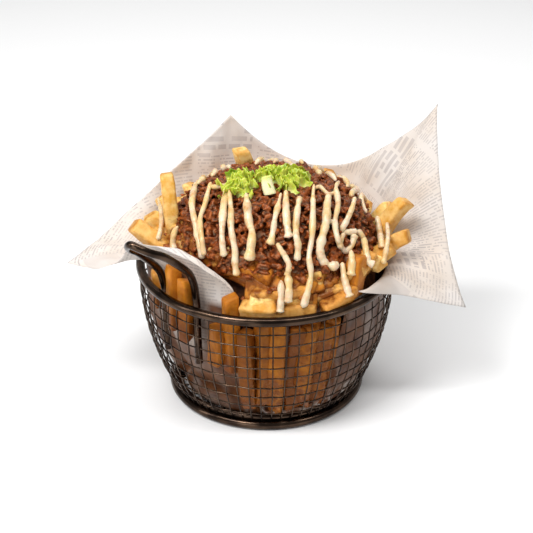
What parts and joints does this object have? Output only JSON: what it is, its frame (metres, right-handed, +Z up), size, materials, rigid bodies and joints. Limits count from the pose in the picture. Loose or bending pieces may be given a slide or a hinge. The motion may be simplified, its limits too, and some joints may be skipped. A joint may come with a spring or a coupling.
{
  "type": "french fries portion",
  "caption": "Loaded french fries in a small round wire frying basket lined with printed paper, topped with minced meat, sauce and lettuce.",
  "frame": {"origin": "on the table under the middle of the basket", "axes": "+Z up out of the basket, +X to the right across it, +Y away from the side where the paper stays low, and the handle points between -X and -Y"},
  "size_m": [0.1955, 0.132, 0.136],
  "materials": {
    "steel": "dark polished steel wire with warm highlights",
    "paper": "matt greaseproof paper with a pale grey printed pattern",
    "fried_potato": "golden fried potato, slightly oily",
    "meat": "glossy brown minced meat in sauce",
    "sauce": "pale cream sauce, wet",
    "lettuce": "fresh curly lettuce",
    "lettuce_stalk": "pale cut stalk"
  },
  "bodies": {
    "root": {"basket_frame": "steel", "basket_hoop_1": "steel", "basket_hoop_2": "steel", "basket_hoop_3": "steel", "basket_hoop_4": "steel", "basket_hoop_5": "steel", "basket_hoop_6": "steel", "basket_hoop_7": "steel", "basket_hoop_8": "steel", "basket_hoop_9": "steel", "basket_hem": "steel", "basket_floor": "steel", "basket_handle": "steel", "paper_liner": "paper", "fries": "fried_potato", "fry_by_handle_1": "fried_potato", "fry_by_handle_2": "fried_potato", "fry_by_handle_3": "fried_potato", "fry_by_handle_4": "fried_potato", "minced_meat": "meat", "lettuce_left": "lettuce", "lettuce_right": "lettuce", "lettuce_stalk": "lettuce_stalk"}
  },
  "joints": []
}
